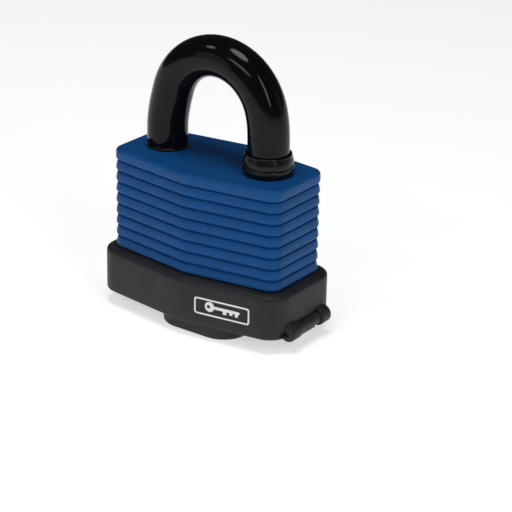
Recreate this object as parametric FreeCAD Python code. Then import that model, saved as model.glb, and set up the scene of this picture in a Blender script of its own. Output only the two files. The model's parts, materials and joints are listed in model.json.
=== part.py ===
"""Weather-covered laminated padlock with a sleeved shackle, 50 mm class.

Frame: millimetres. The origin is the centre of the keyway flap's flat foot, on the
lock cylinder's axis. +Z runs up towards the shackle, +X towards the flap hinge and
the toe leg of the shackle, and -Y is the front with the badge.
"""
import FreeCAD, Part
import math
import os

V = FreeCAD.Vector
Y_AXIS = V(0, 1, 0)
Z_AXIS = V(0, 0, 1)

# ---- fits -------------------------------------------------------------------
RUNNING_GAP = 0.06        # a shaft that turns or slides in its hole, per side
LOOSE_GAP = 0.25          # a part that passes a hole without touching, per side
FLAP_GAP = 0.10           # closed flap to the underside of the base
SLOT_GAP = 0.10           # flat sliding parts, per side

# ---- cover: the ribbed blue shell -------------------------------------------
COVER_WIDTH = 57.5        # over the rib crests, between the short ends
COVER_BOW = 3.98          # how far the middle of each long side stands past its ends
COVER_BEND_R = 10.0       # where the two flats of a long side meet
COVER_CORNER_R = 4.0
COVER_WALL = 1.6
COVER_TOP_WALL = 1.8
RIB_PITCH = 3.30
RIB_COUNT = 9
RIB_DEPTH = 0.95
TOP_EDGE_R = 0.9

# ---- base cap: the charcoal moulding ----------------------------------------
BASE_OVERHANG = 2.86      # how far its outline stands outside the cover's crests
BASE_WALL_H = 11.73
BASE_SHOULDER_H = 1.47
BASE_FLOOR = 2.0
BASE_EDGE_R = 0.7
SOCKET_GAP = 0.05

# ---- keyway flap and its hinge ----------------------------------------------
FLAP_DROP = 4.2           # underside of the base above the flat foot
FLAP_LENGTH = 27.4
FLAP_WIDTH = 31.0
FLAP_SHIFT = 2.9          # the flap's plan centre, towards the hinge
FLAP_CORNER_R = 8.0
FLAP_EDGE = 0.8
ARM_WIDTH = 9.6
ARM_FOOT = 2.7            # the arm's underside above the flat foot
HINGE_IN = 0.11           # hinge axis inside the base's end wall
HINGE_RISE = 1.5          # hinge axis above the underside of the base
LUG_R = 2.6
LUG_THICK = 4.1
LUG_PIN_R = 1.05
KNUCKLE_R = 1.9
KNUCKLE_GAP = 0.2         # knuckle to each lug
RECESS_GAP = 0.3          # knuckle to its recess in the base
PIN_RECESS = 0.8
PAD_OVERLAP = 2.2         # the pad's radius beyond the plug's
PAD_RISE = 0.6
PAD_GAP = 0.6
GRIP_R = 5.0              # scoop for a fingernail in the flap's free edge
GRIP_BITE = 1.0
GRIP_DEPTH = 1.4

# ---- shackle ----------------------------------------------------------------
LEG_R = 4.5
LEG_MARGIN = 6.75         # from each leg's steel to the cover's short end
SLEEVE_WALL = 1.35
LEG_STRAIGHT = 5.8        # straight leg above the cover's top
HAUNCH_R = 44.5           # the slow bend that starts the arch
HAUNCH_ANGLE = 15.6
TOE_DEPTH = 10.9          # toe leg below the cover's top
TOE_CLEAR = 1.1           # toe above its seal when the shackle is fully up
HEEL_FOOT_H = 3.0
NECK_CLEAR = 0.4          # thrown bolt to the heel's neck
NOTCH_CLEAR = 0.7         # thrown bolt to the bottom of its notch
LEG_CHAMFER = 0.8
SLEEVE_START = 1.2        # sleeve's lower ends above the cover's top

# ---- seals round the legs ---------------------------------------------------
TOE_SEAL_H = 6.0
TOE_SEAL_WALL = 1.05
TOE_SEAL_LIP = 0.8
SEAL_GAP = 0.3
HEEL_SEAL_MARGIN = 0.15   # heel ring outside the sleeve
HEEL_SEAL_H = 0.9

# ---- lamination stack -------------------------------------------------------
PLATE_COUNT = 13
PLATE_INSET = 0.10
BOLT_PLATE = 11           # counted from the bottom, starting at 0
RETAINER_PLATE = 9
RIVET_END_GAP = 5.95      # rivet centres in from the cover's short ends
RIVET_SIDE_GAP = 4.45     # and from its long sides, measured at the short ends
RIVET_R = 1.5
RIVET_HEAD_R = 2.3
RIVET_HEAD_H = 1.0
BACK_METAL = 1.48         # plate left behind the pin housing

# ---- lock cylinder ----------------------------------------------------------
PLUG_R = 6.0
SHELL_WALL = 1.9
BIBLE_HALF_WIDTH = 3.0
PLUG_FACE_RECESS = 0.6
TAIL_R = 3.0
TAIL_SQUARE = 3.6
KEYWAY_WIDTH = 2.2
KEYWAY_WALL = 1.1         # plug left below the keyway
KEYWAY_HIGH = 2.6
KEYWAY_ROOF = 1.0         # plug left beyond the keyway's inner end
WARD_DEPTH = 0.8
WARD_HEIGHT = 1.0
PIN_COUNT = 5
PIN_PITCH = 4.0
FIRST_PIN_RISE = 5.0      # above the shell's lower end
LAST_PIN_MARGIN = 4.0     # shell above the innermost pin
PIN_R = 1.45
PIN_TIP_H = 0.9
PIN_TIP_R = 0.5
KEY_PIN_LENGTHS = (4.6, 6.1, 5.2, 3.9, 5.6)
DRIVER_LENGTH = 2.0
PIN_SPRING_LENGTH = 2.28
SHEAR_SETBACK = 0.3       # key pins end this far inside the plug's radius
COVER_STRIP = 0.9
STRIP_SIDE_WALL = 0.8
STRIP_END_WALL = 1.5
CLIP_THICK = 0.9
CLIP_REACH = 1.2
CLIP_BITE = 1.0
CLIP_MOUTH = 4.0

# ---- cam and locking bolts --------------------------------------------------
CAM_HALF_WIDTH = 3.2
BOLT_THROW = 1.7
BOLT_WIDTH = 5.0
CAM_GAP = 0.55
LEG_GAP = 0.3

# ---- springs ----------------------------------------------------------------
PIN_SPRING_WIRE_R = 0.25
PIN_SPRING_PITCH = 0.7
LIFT_SPRING_WIRE_R = 0.45
LIFT_SPRING_TURNS = 4.5
LIFT_SPRING_SIDE_GAP = 0.4
SPRING_SIDE_GAP = 0.2
SPRING_END_GAP = 0.05

# ---- badge ------------------------------------------------------------------
BADGE_LENGTH = 17.2
BADGE_HEIGHT = 5.0
BADGE_END_GAP = 8.61      # badge to the base's hinged end
BADGE_RISE = 6.2
BADGE_THICK = 0.25

# ---- places and levels that follow from the sizes above ----------------------
HALF_WIDTH = COVER_WIDTH / 2.0
CAVITY_INSET = RIB_DEPTH + COVER_WALL
STACK_INSET = CAVITY_INSET + PLATE_INSET
DRIVER_Y = PLUG_R + 2.0 * RUNNING_GAP
STRIP_Y = DRIVER_Y + DRIVER_LENGTH + PIN_SPRING_LENGTH
BIBLE_REACH = STRIP_Y + COVER_STRIP
HALF_DEPTH = BIBLE_REACH + BACK_METAL + STACK_INSET
END_HALF_DEPTH = HALF_DEPTH - COVER_BOW
LEG_X = HALF_WIDTH - LEG_MARGIN - LEG_R
SLEEVE_R = LEG_R + SLEEVE_WALL
BASE_END_X = HALF_WIDTH + BASE_OVERHANG
BASE_Z = FLAP_DROP
FLOOR_Z = BASE_Z + BASE_FLOOR
COVER_FOOT_Z = BASE_Z + BASE_WALL_H + BASE_SHOULDER_H
TOP_Z = COVER_FOOT_Z + RIB_COUNT * RIB_PITCH
ROOF_Z = TOP_Z - COVER_TOP_WALL
PLATE_T = (ROOF_Z - FLOOR_Z) / PLATE_COUNT
BOLT_Z = FLOOR_Z + BOLT_PLATE * PLATE_T
RETAINER_Z = FLOOR_Z + RETAINER_PLATE * PLATE_T
ARCH_Z = TOP_Z + LEG_STRAIGHT
TOE_END_Z = TOP_Z - TOE_DEPTH
LIFT = TOE_DEPTH + TOE_SEAL_H + TOE_CLEAR
NECK_TOP_Z = RETAINER_Z + PLATE_T + SLOT_GAP
NECK_LOW_Z = RETAINER_Z - LIFT - SLOT_GAP
HEEL_END_Z = NECK_LOW_Z - HEEL_FOOT_H
BOLT_BITE = BOLT_THROW - LEG_GAP
NECK_R = LEG_R - BOLT_BITE - NECK_CLEAR
NOTCH_DEPTH = BOLT_BITE + NOTCH_CLEAR
SLEEVE_Z = TOP_Z + SLEEVE_START
SHELL_TOP_Z = FLOOR_Z + FIRST_PIN_RISE + (PIN_COUNT - 1) * PIN_PITCH + LAST_PIN_MARGIN
CLIP_Z = SHELL_TOP_Z + SLOT_GAP
PLUG_SHOULDER_Z = SHELL_TOP_Z + 2.0 * CLIP_THICK
PLUG_FACE_Z = BASE_Z + PLUG_FACE_RECESS
PAD_R = PLUG_R + PAD_OVERLAP
HINGE_X = BASE_END_X - HINGE_IN
HINGE_Z = BASE_Z + HINGE_RISE
LUG_Y = ARM_WIDTH / 2.0 + KNUCKLE_GAP
BADGE_X = BASE_END_X - BADGE_END_GAP - BADGE_LENGTH / 2.0
BADGE_Z = BASE_Z + BADGE_RISE
FAR = 2.0 * COVER_WIDTH   # longer than anything it cuts
OVER = 1.0                # how far a cutter passes a face


def save(name, shape):
    solids = shape.Solids
    shape = solids[0] if len(solids) == 1 else shape
    shape.exportStep("parts/" + name + ".step")


def outline(offset, z):
    """Plan of the cover's crests, moved outwards by an offset.

    The ends are straight and short. Each long side is two flats that meet in a soft
    bend at the middle, so the lock is deepest on its centre line.
    """
    tilt = math.atan2(COVER_BOW, HALF_WIDTH)
    lean = V(math.sin(tilt), math.cos(tilt), 0)
    reach = HALF_DEPTH * lean.y
    cx = HALF_WIDTH - COVER_CORNER_R
    cy = (reach - COVER_CORNER_R - cx * lean.x) / lean.y
    corner = V(cx, cy, 0)
    bend = V(0, HALF_DEPTH - COVER_BEND_R / lean.y, 0)
    r = COVER_CORNER_R + offset
    big = COVER_BEND_R + offset
    half_turn = math.radians(45.0) - tilt / 2.0
    end_t = corner + V(r, 0, 0)
    corner_m = corner + V(r * math.cos(half_turn), r * math.sin(half_turn), 0)
    corner_t = corner + lean * r
    bend_t = bend + lean * big
    bend_m = bend + V(0, big, 0)

    def at(p, sx, sy):
        return V(p.x * sx, p.y * sy, z)

    def line(p, q):
        return Part.LineSegment(p, q).toShape()

    def arc(p, m, q):
        return Part.Arc(p, m, q).toShape()

    edges = []
    for side in (1, -1):
        edges.append(line(at(end_t, side, -side), at(end_t, side, side)))
        edges.append(arc(at(end_t, side, side), at(corner_m, side, side), at(corner_t, side, side)))
        edges.append(line(at(corner_t, side, side), at(bend_t, side, side)))
        edges.append(arc(at(bend_t, side, side), at(bend_m, side, side), at(bend_t, -side, side)))
        edges.append(line(at(bend_t, -side, side), at(corner_t, -side, side)))
        edges.append(arc(at(corner_t, -side, side), at(corner_m, -side, side), at(end_t, -side, side)))
    return Part.Wire(edges)


def outline_prism(offset, z0, z1):
    return Part.Face(outline(offset, z0)).extrude(V(0, 0, z1 - z0))


def outline_loft(sections):
    return Part.makeLoft([outline(offset, z) for offset, z in sections], True, True)


def cylinder(r, x, y, z0, z1):
    return Part.makeCylinder(r, z1 - z0, V(x, y, z0), Z_AXIS)


def box(x0, x1, y0, y1, z0, z1):
    return Part.makeBox(x1 - x0, y1 - y0, z1 - z0, V(x0, y0, z0))


def rounded_plate(cx, cy, length, width, r, z0, z1):
    hx = length / 2.0
    hy = width / 2.0
    plate = box(cx - hx + r, cx + hx - r, cy - hy, cy + hy, z0, z1)
    plate = plate.fuse(box(cx - hx, cx + hx, cy - hy + r, cy + hy - r, z0, z1))
    for sx in (-1, 1):
        for sy in (-1, 1):
            plate = plate.fuse(cylinder(r, cx + sx * (hx - r), cy + sy * (hy - r), z0, z1))
    return plate.removeSplitter()


# ---- cover and base ---------------------------------------------------------

def rib_sections():
    """Lap-siding ribs: a sharp groove at each foot, a low crest and a sloping face."""
    sections = []
    for i in range(RIB_COUNT):
        z = COVER_FOOT_Z + i * RIB_PITCH
        sections.append((-RIB_DEPTH, z))
        sections.append((-0.3 * RIB_DEPTH, z + 0.05 * RIB_PITCH))
        sections.append((0.0, z + 0.24 * RIB_PITCH))
        if i < RIB_COUNT - 1:
            sections.append((-0.15 * RIB_DEPTH, z + 0.55 * RIB_PITCH))
            sections.append((-0.45 * RIB_DEPTH, z + 0.95 * RIB_PITCH))
    return sections


def body_cover():
    sections = [(-RIB_DEPTH, FLOOR_Z)] + rib_sections()
    sections.append((-0.02, TOP_Z - TOP_EDGE_R))
    sections.append((-0.29 * TOP_EDGE_R, TOP_Z - 0.29 * TOP_EDGE_R))
    sections.append((-TOP_EDGE_R, TOP_Z))
    cover = outline_loft(sections)
    cover = cover.cut(outline_prism(-CAVITY_INSET, FLOOR_Z - OVER, ROOF_Z))
    for x in (-LEG_X, LEG_X):
        cover = cover.cut(cylinder(LEG_R + LOOSE_GAP, x, 0, ROOF_Z - OVER, TOP_Z + OVER))
    return cover


def hinge_barrel(r, y0, y1):
    return Part.makeCylinder(r, y1 - y0, V(HINGE_X, y0, HINGE_Z), Y_AXIS)


def base_shell():
    top = BASE_Z + BASE_WALL_H
    rise = BASE_SHOULDER_H
    out = BASE_OVERHANG
    edge = BASE_EDGE_R
    sections = [(out - edge, BASE_Z), (out - 0.29 * edge, BASE_Z + 0.29 * edge)]
    sections += [(out, BASE_Z + edge), (out, top)]
    sections += [(0.86 * out, top + 0.45 * rise), (0.5 * out, top + 0.82 * rise)]
    sections += [(0.12 * out, top + rise)]
    return outline_loft(sections)


def hinge_lug(y0):
    y1 = y0 + LUG_THICK
    barrel = hinge_barrel(LUG_R, y0, y1)
    return barrel.fuse(box(HALF_WIDTH, HINGE_X, y0, y1, BASE_Z, HINGE_Z + LUG_R))


def base_cap():
    cap = base_shell().fuse([hinge_lug(-LUG_Y - LUG_THICK), hinge_lug(LUG_Y)])
    cap = cap.cut(outline_prism(-RIB_DEPTH + SOCKET_GAP, FLOOR_Z, COVER_FOOT_Z + OVER))
    recess_r = KNUCKLE_R + RECESS_GAP
    cap = cap.cut(hinge_barrel(recess_r, -LUG_Y, LUG_Y))
    cap = cap.cut(box(HINGE_X, FAR, -LUG_Y, LUG_Y, 0, HINGE_Z + recess_r))
    cap = cap.cut(box(HINGE_X - recess_r, HINGE_X, -LUG_Y, LUG_Y, 0, HINGE_Z))
    cap = cap.cut(hinge_barrel(LUG_PIN_R, -FAR, FAR))
    cap = cap.cut(cylinder(PLUG_R + LOOSE_GAP, 0, 0, BASE_Z - OVER, FLOOR_Z + OVER))
    cap = cap.cut(cylinder(PAD_R + PAD_GAP, 0, 0, BASE_Z - OVER, BASE_Z + PAD_RISE + LOOSE_GAP))
    return cap.removeSplitter()


def keyway_flap():
    z1 = BASE_Z - FLAP_GAP
    half = ARM_WIDTH / 2.0
    tongue = rounded_plate(FLAP_SHIFT, 0, FLAP_LENGTH, FLAP_WIDTH, FLAP_CORNER_R, 0, z1)
    foot_edges = [e for e in tongue.Edges if abs(e.BoundBox.ZMax) < 1e-6]
    tongue = tongue.makeFillet(FLAP_EDGE, foot_edges)
    arm = box(FLAP_SHIFT, HINGE_X, -half, half, ARM_FOOT, z1)
    neck = box(HINGE_X - KNUCKLE_R, HINGE_X, -half, half, ARM_FOOT, HINGE_Z)
    flap = tongue.fuse([arm, neck, hinge_barrel(KNUCKLE_R, -half, half)])
    flap = flap.cut(hinge_barrel(LUG_PIN_R + RUNNING_GAP, -FAR, FAR))
    grip_x = FLAP_SHIFT - FLAP_LENGTH / 2.0 - GRIP_R + GRIP_BITE
    flap = flap.cut(cylinder(GRIP_R, grip_x, 0, z1 - GRIP_DEPTH, z1 + OVER))
    return flap.removeSplitter()


def flap_hinge_pin():
    reach = LUG_Y + LUG_THICK - PIN_RECESS
    return hinge_barrel(LUG_PIN_R, -reach, reach)


def flap_pad():
    z0 = BASE_Z - FLAP_GAP
    return cylinder(PAD_R, 0, 0, z0, z0 + PAD_RISE)


def badge():
    """Thin pill-shaped plate that follows the flats of the front wall."""
    r = BADGE_HEIGHT / 2.0
    half = BADGE_LENGTH / 2.0 - r
    pill = box(BADGE_X - half, BADGE_X + half, -FAR, 0, BADGE_Z - r, BADGE_Z + r)
    for x in (BADGE_X - half, BADGE_X + half):
        pill = pill.fuse(Part.makeCylinder(r, FAR, V(x, -FAR, BADGE_Z), Y_AXIS))
    skin = outline_prism(BASE_OVERHANG + BADGE_THICK, BADGE_Z - r - OVER, BADGE_Z + r + OVER)
    skin = skin.cut(outline_prism(BASE_OVERHANG, BADGE_Z - r - 2 * OVER, BADGE_Z + r + 2 * OVER))
    return skin.common(pill).removeSplitter()


# ---- shackle ----------------------------------------------------------------

def crown():
    """Centre height and radius of the arch's round crown."""
    a = math.radians(HAUNCH_ANGLE)
    far = HAUNCH_R - LEG_X
    return ARCH_Z + far * math.tan(a), HAUNCH_R - far / math.cos(a)


def turned_disc(r, centre, normal, turn_centre, angle):
    """Disc of radius r swept about a line along Y through the turn centre."""
    disc = Part.Face(Part.Wire(Part.makeCircle(r, centre, normal)))
    return disc.revolve(turn_centre, Y_AXIS, angle)


def rod(r, heel_z, toe_z):
    """Round bar along the shackle's centreline between two leg ends."""
    crown_z, crown_r = crown()
    a = math.radians(HAUNCH_ANGLE)
    far = HAUNCH_R - LEG_X
    heel = cylinder(r, -LEG_X, 0, heel_z, ARCH_Z)
    toe = cylinder(r, LEG_X, 0, toe_z, ARCH_Z)
    left = turned_disc(r, V(-LEG_X, 0, ARCH_Z), Z_AXIS, V(far, 0, ARCH_Z), HAUNCH_ANGLE)
    right = turned_disc(r, V(LEG_X, 0, ARCH_Z), Z_AXIS, V(-far, 0, ARCH_Z), -HAUNCH_ANGLE)
    seam = V(-crown_r * math.cos(a), 0, crown_z + crown_r * math.sin(a))
    normal = V(math.sin(a), 0, math.cos(a))
    top = turned_disc(r, seam, normal, V(0, 0, crown_z), 180.0 - 2.0 * HAUNCH_ANGLE)
    return heel.fuse([toe, left, right, top]).removeSplitter()


def leg_end_waste(x, z):
    """What the chamfer takes off the end of a leg."""
    ring = cylinder(LEG_R + OVER, x, 0, z - OVER, z + LEG_CHAMFER)
    cone = Part.makeCone(LEG_R - LEG_CHAMFER, LEG_R, LEG_CHAMFER, V(x, 0, z), Z_AXIS)
    return ring.cut(cone)


def shackle():
    bar = rod(LEG_R, HEEL_END_Z, TOE_END_Z)
    neck = cylinder(LEG_R + OVER, -LEG_X, 0, NECK_LOW_Z, NECK_TOP_Z)
    bar = bar.cut(neck.cut(cylinder(NECK_R, -LEG_X, 0, NECK_LOW_Z, NECK_TOP_Z)))
    inner = LEG_X - LEG_R
    half = LEG_R + OVER
    z0 = BOLT_Z - SLOT_GAP
    z1 = BOLT_Z + PLATE_T + SLOT_GAP
    bar = bar.cut(box(inner - OVER, inner + NOTCH_DEPTH, -half, half, z0, z1))
    bar = bar.cut(box(-inner - NOTCH_DEPTH, -inner + OVER, -half, half, z0, z1))
    bar = bar.cut(leg_end_waste(-LEG_X, HEEL_END_Z))
    return bar.cut(leg_end_waste(LEG_X, TOE_END_Z))


def shackle_sleeve():
    outer = rod(SLEEVE_R, SLEEVE_Z, SLEEVE_Z)
    return outer.cut(rod(LEG_R, SLEEVE_Z - OVER, SLEEVE_Z - OVER))


def turned_section(points, x):
    """Closed half-section of (radius, height) pairs turned about a leg's axis."""
    wire = Part.makePolygon([V(x + r, 0, z) for r, z in points + [points[0]]])
    return Part.Face(wire).revolve(V(x, 0, 0), Z_AXIS, 360)


def toe_seal():
    """Rubber collar: a swollen upper ring over a narrower lower one, lip on top."""
    r = SLEEVE_R + SEAL_GAP
    big = r + TOE_SEAL_WALL
    z = TOP_Z
    h = TOE_SEAL_H
    section = [(r, z), (big - 0.1, z), (big, z + 0.10 * h), (big - 0.2, z + 0.25 * h)]
    section += [(big - 0.45, z + 0.31 * h), (big - 0.1, z + 0.38 * h), (big, z + 0.55 * h)]
    section += [(big - 0.15, z + 0.72 * h), (r + TOE_SEAL_LIP - 0.1, z + 0.9 * h)]
    section += [(r + 0.35, z + h), (r, z + h)]
    return turned_section(section, LEG_X)


def heel_seal():
    inner = LEG_R + SEAL_GAP
    outer = SLEEVE_R + HEEL_SEAL_MARGIN
    top = TOP_Z + HEEL_SEAL_H
    section = [(inner, TOP_Z), (outer, TOP_Z), (outer, TOP_Z + 0.7 * HEEL_SEAL_H)]
    section += [(outer - 0.2, top), (inner, top)]
    return turned_section(section, -LEG_X)


def coil(r, wire_r, length, pitch, foot, direction):
    """Round-wire compression spring of a given length over its end turns."""
    height = length - 2.0 * wire_r
    helix = Part.makeHelix(pitch, height, r)
    section = Part.Wire(Part.makeCircle(wire_r, V(r, 0, 0), Y_AXIS))
    spring = Part.Wire(helix).makePipeShell([section], True, True)
    start = foot + direction * wire_r
    spring.Placement = FreeCAD.Placement(start, FreeCAD.Rotation(Z_AXIS, direction))
    return spring


def lift_spring():
    r = LEG_R - LIFT_SPRING_WIRE_R - LIFT_SPRING_SIDE_GAP
    length = HEEL_END_Z - FLOOR_Z - SPRING_END_GAP
    pitch = (length - 2.0 * LIFT_SPRING_WIRE_R) / LIFT_SPRING_TURNS
    foot = V(-LEG_X, 0, FLOOR_Z)
    return coil(r, LIFT_SPRING_WIRE_R, length, pitch, foot, Z_AXIS)


# ---- lamination stack -------------------------------------------------------

def shell_prism(gap, z0, z1):
    """Round cylinder housing with its flat-sided pin housing behind."""
    half = BIBLE_HALF_WIDTH + gap
    prism = cylinder(PLUG_R + SHELL_WALL + gap, 0, 0, z0, z1)
    return prism.fuse(box(-half, half, 0, BIBLE_REACH + gap, z0, z1))


def heel_slot(z0, z1):
    """Slot open at the plate's end: it slides in round the heel's neck."""
    half = NECK_R + LOOSE_GAP
    return cylinder(half, -LEG_X, 0, z0, z1).fuse(box(-FAR, -LEG_X, -half, half, z0, z1))


def bolt_pocket(z0, z1):
    half = BOLT_WIDTH / 2.0 + SLOT_GAP
    sweep = CAM_HALF_WIDTH + BOLT_THROW + LOOSE_GAP
    return box(-LEG_X, LEG_X, -half, half, z0, z1).fuse(cylinder(sweep, 0, 0, z0, z1))


def lock_cavity(i, z0, z1):
    """What the lock cylinder, its clip, its tail or the bolts need of plate i."""
    clip_r = PLUG_R + CLIP_REACH + LOOSE_GAP
    if i == BOLT_PLATE:
        return bolt_pocket(z0, z1)
    if z1 <= SHELL_TOP_Z:
        return shell_prism(SLOT_GAP, z0, z1)
    if z0 < SHELL_TOP_Z:
        return shell_prism(SLOT_GAP, z0, SHELL_TOP_Z).fuse(cylinder(clip_r, 0, 0, z0, z1))
    if z0 < PLUG_SHOULDER_Z:
        return cylinder(clip_r, 0, 0, z0, z1)
    if i < BOLT_PLATE:
        return cylinder(TAIL_R + LOOSE_GAP, 0, 0, z0, z1)
    return None


def plate(i):
    z0 = FLOOR_Z + i * PLATE_T
    z1 = z0 + PLATE_T
    sheet = outline_prism(-STACK_INSET, z0, z1)
    if i == RETAINER_PLATE:
        sheet = sheet.cut(heel_slot(z0, z1))
    else:
        sheet = sheet.cut(cylinder(LEG_R + LOOSE_GAP, -LEG_X, 0, z0, z1))
    if z1 > TOE_END_Z - SLOT_GAP:
        sheet = sheet.cut(cylinder(LEG_R + LOOSE_GAP, LEG_X, 0, z0, z1))
    cavity = lock_cavity(i, z0, z1)
    if cavity:
        sheet = sheet.cut(cavity)
    for x, y in rivet_places():
        sheet = sheet.cut(rivet(x, y, RUNNING_GAP))
    return sheet


def rivet(x, y, gap):
    head_r = RIVET_HEAD_R + gap
    head_h = RIVET_HEAD_H + gap
    pin = cylinder(RIVET_R + gap, x, y, FLOOR_Z, ROOF_Z)
    pin = pin.fuse(cylinder(head_r, x, y, FLOOR_Z, FLOOR_Z + head_h))
    return pin.fuse(cylinder(head_r, x, y, ROOF_Z - head_h, ROOF_Z))


def rivet_places():
    x = HALF_WIDTH - RIVET_END_GAP
    y = END_HALF_DEPTH - RIVET_SIDE_GAP
    return [(-x, -y), (-x, y), (x, -y), (x, y)]


# ---- lock cylinder ----------------------------------------------------------

def pin_level(i):
    return FLOOR_Z + FIRST_PIN_RISE + i * PIN_PITCH


def cross_pin(r, y0, y1, z):
    return Part.makeCylinder(r, y1 - y0, V(0, y0, z), Y_AXIS)


def strip_box(y1):
    half = BIBLE_HALF_WIDTH - STRIP_SIDE_WALL
    return box(-half, half, STRIP_Y, y1, FLOOR_Z + STRIP_END_WALL, SHELL_TOP_Z - STRIP_END_WALL)


def cylinder_shell():
    shell = shell_prism(0, FLOOR_Z, SHELL_TOP_Z)
    shell = shell.cut(cylinder(PLUG_R + RUNNING_GAP, 0, 0, FLOOR_Z - OVER, SHELL_TOP_Z + OVER))
    for i in range(PIN_COUNT):
        shell = shell.cut(cross_pin(PIN_R + RUNNING_GAP, 0, BIBLE_REACH + OVER, pin_level(i)))
    return shell.cut(strip_box(BIBLE_REACH + OVER))


def pin_cover():
    return strip_box(BIBLE_REACH)


def keyway_prism(z0, z1):
    """Key slot with a ward standing in from each side."""
    half = KEYWAY_WIDTH / 2.0
    low = -PLUG_R + KEYWAY_WALL
    right_y = low + WARD_HEIGHT
    left_y = low + 3.0 * WARD_HEIGHT
    slot = box(-half, half, low, KEYWAY_HIGH, z0, z1)
    right = box(half - WARD_DEPTH, half + OVER, right_y, right_y + WARD_HEIGHT, z0, z1)
    left = box(-half - OVER, -half + WARD_DEPTH, left_y, left_y + WARD_HEIGHT, z0, z1)
    return slot.cut(right).cut(left)


def clip_ring():
    ring = cylinder(PLUG_R + CLIP_REACH, 0, 0, CLIP_Z, CLIP_Z + CLIP_THICK)
    return ring.cut(cylinder(PLUG_R - CLIP_BITE, 0, 0, CLIP_Z - OVER, CLIP_Z + CLIP_THICK + OVER))


def plug():
    body = cylinder(PLUG_R, 0, 0, PLUG_FACE_Z, PLUG_SHOULDER_Z).cut(clip_ring())
    half = TAIL_SQUARE / 2.0
    tail = cylinder(TAIL_R, 0, 0, PLUG_SHOULDER_Z - OVER, BOLT_Z)
    square = box(-half, half, -half, half, BOLT_Z - OVER, BOLT_Z + PLATE_T - SLOT_GAP)
    body = body.fuse([tail, square])
    body = body.cut(keyway_prism(PLUG_FACE_Z - OVER, SHELL_TOP_Z - KEYWAY_ROOF))
    for i in range(PIN_COUNT):
        body = body.cut(cross_pin(PIN_R + RUNNING_GAP, 0, PLUG_R + OVER, pin_level(i)))
    return body.removeSplitter()


def plug_clip():
    half = CLIP_MOUTH / 2.0
    return clip_ring().cut(box(-half, half, -FAR, 0, CLIP_Z - OVER, CLIP_Z + CLIP_THICK + OVER))


def key_pin(i):
    top = PLUG_R - SHEAR_SETBACK
    low = top - KEY_PIN_LENGTHS[i]
    pin = cross_pin(PIN_R, low + PIN_TIP_H, top, pin_level(i))
    tip = Part.makeCone(PIN_TIP_R, PIN_R, PIN_TIP_H, V(0, low, pin_level(i)), Y_AXIS)
    return pin.fuse(tip).removeSplitter()


def driver_pin(i):
    return cross_pin(PIN_R, DRIVER_Y, DRIVER_Y + DRIVER_LENGTH, pin_level(i))


def pin_spring(i):
    r = PIN_R - PIN_SPRING_WIRE_R - SPRING_SIDE_GAP
    foot = V(0, DRIVER_Y + DRIVER_LENGTH, pin_level(i))
    return coil(r, PIN_SPRING_WIRE_R, PIN_SPRING_LENGTH, PIN_SPRING_PITCH, foot, Y_AXIS)


# ---- cam and bolts ----------------------------------------------------------

def cam():
    """Two-lobed bar on the plug's square: its lobes swing round to spread the bolts."""
    z0 = BOLT_Z + SLOT_GAP
    z1 = BOLT_Z + PLATE_T - SLOT_GAP
    half = TAIL_SQUARE / 2.0
    bar = box(-CAM_HALF_WIDTH, CAM_HALF_WIDTH, -BOLT_THROW, BOLT_THROW, z0, z1)
    for y in (-BOLT_THROW, BOLT_THROW):
        bar = bar.fuse(cylinder(CAM_HALF_WIDTH, 0, y, z0, z1))
    return bar.cut(box(-half, half, -half, half, z0 - OVER, z1 + OVER)).removeSplitter()


def locking_bolt(side):
    """Flat bolt between the cam and a shackle leg, drawn back at rest."""
    z0 = BOLT_Z + SLOT_GAP
    z1 = BOLT_Z + PLATE_T - SLOT_GAP
    x0 = CAM_HALF_WIDTH + CAM_GAP
    x1 = LEG_X - LEG_R - LEG_GAP
    half = BOLT_WIDTH / 2.0
    nose = BOLT_BITE / 2.0
    bar = box(x0, x1 - nose, -half, half, z0, z1)
    bar = bar.fuse(box(x0, x1, -half + nose, half - nose, z0, z1)).removeSplitter()
    if side < 0:
        bar.rotate(V(0, 0, 0), Z_AXIS, 180)
    return bar


def main():
    os.makedirs("parts", exist_ok=True)
    save("body_cover", body_cover())
    save("base_cap", base_cap())
    save("keyway_flap", keyway_flap())
    save("flap_hinge_pin", flap_hinge_pin())
    save("flap_pad", flap_pad())
    save("badge", badge())
    save("shackle", shackle())
    save("shackle_sleeve", shackle_sleeve())
    save("toe_seal", toe_seal())
    save("heel_seal", heel_seal())
    save("lift_spring", lift_spring())
    for i in range(PLATE_COUNT):
        save("plate_%02d" % (i + 1), plate(i))
    for i, (x, y) in enumerate(rivet_places()):
        save("rivet_%d" % (i + 1), rivet(x, y, 0))
    save("cylinder_shell", cylinder_shell())
    save("pin_cover", pin_cover())
    save("plug", plug())
    save("plug_clip", plug_clip())
    for i in range(PIN_COUNT):
        save("key_pin_%d" % (i + 1), key_pin(i))
        save("driver_pin_%d" % (i + 1), driver_pin(i))
        save("pin_spring_%d" % (i + 1), pin_spring(i))
    save("cam", cam())
    save("toe_bolt", locking_bolt(1))
    save("heel_bolt", locking_bolt(-1))


main()
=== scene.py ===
"""Weather-covered padlock: the surfaces that show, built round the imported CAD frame.

Metres throughout. The foot of the keyway flap is at the origin, +Z is up, the hinge
and the collared toe leg are at +X, and the badge is on the front, at -Y.
"""
import json
import math

import bmesh
import bpy
from bpy.props import FloatProperty, FloatVectorProperty, IntProperty, PointerProperty
from mathutils import Matrix, Quaternion, Vector


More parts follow.
